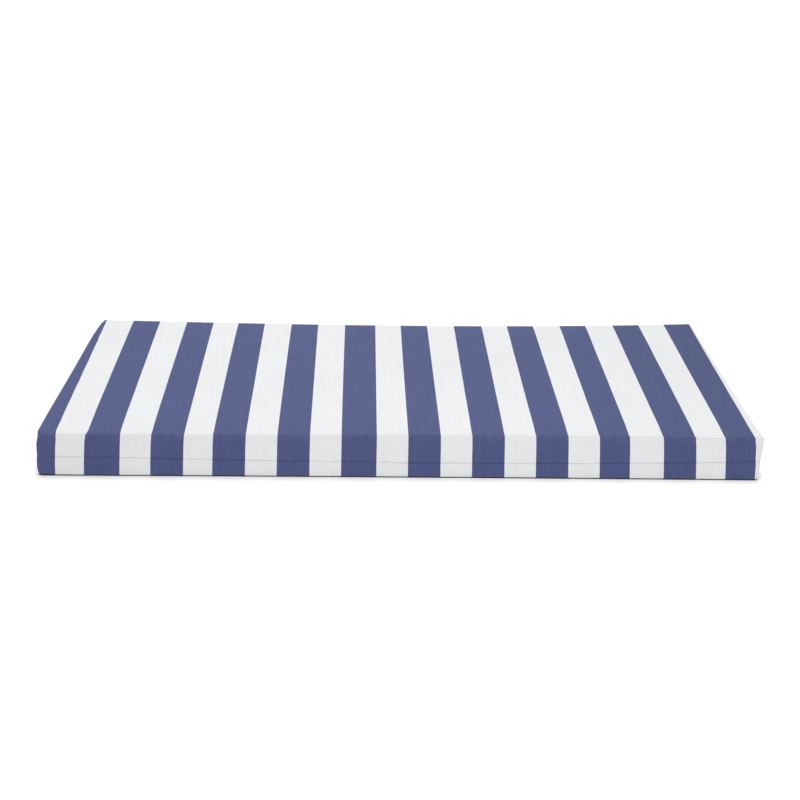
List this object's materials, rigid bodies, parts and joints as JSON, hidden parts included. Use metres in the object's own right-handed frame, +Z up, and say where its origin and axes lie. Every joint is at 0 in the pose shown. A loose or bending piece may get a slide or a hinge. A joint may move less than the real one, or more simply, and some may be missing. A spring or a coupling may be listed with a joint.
{
  "type": "outdoor mattress cushion",
  "caption": "Long flat filled cushion with a striped woven cover and a low sewn seam all round, for a daybed, bench or lounger.",
  "frame": {"origin": "middle of the underside's bounding rectangle, on the surface that the cushion lies on", "axes": "+X along the cushion's length, -Y towards its front long side, +Z up through its thickness"},
  "size_m": [1.9098, 1.021, 0.1191],
  "materials": {
    "cover_cloth": "matt woven outdoor cloth with blue and white stripes that run from front to back"
  },
  "bodies": {
    "root": {"cushion": "cover_cloth"}
  },
  "joints": []
}
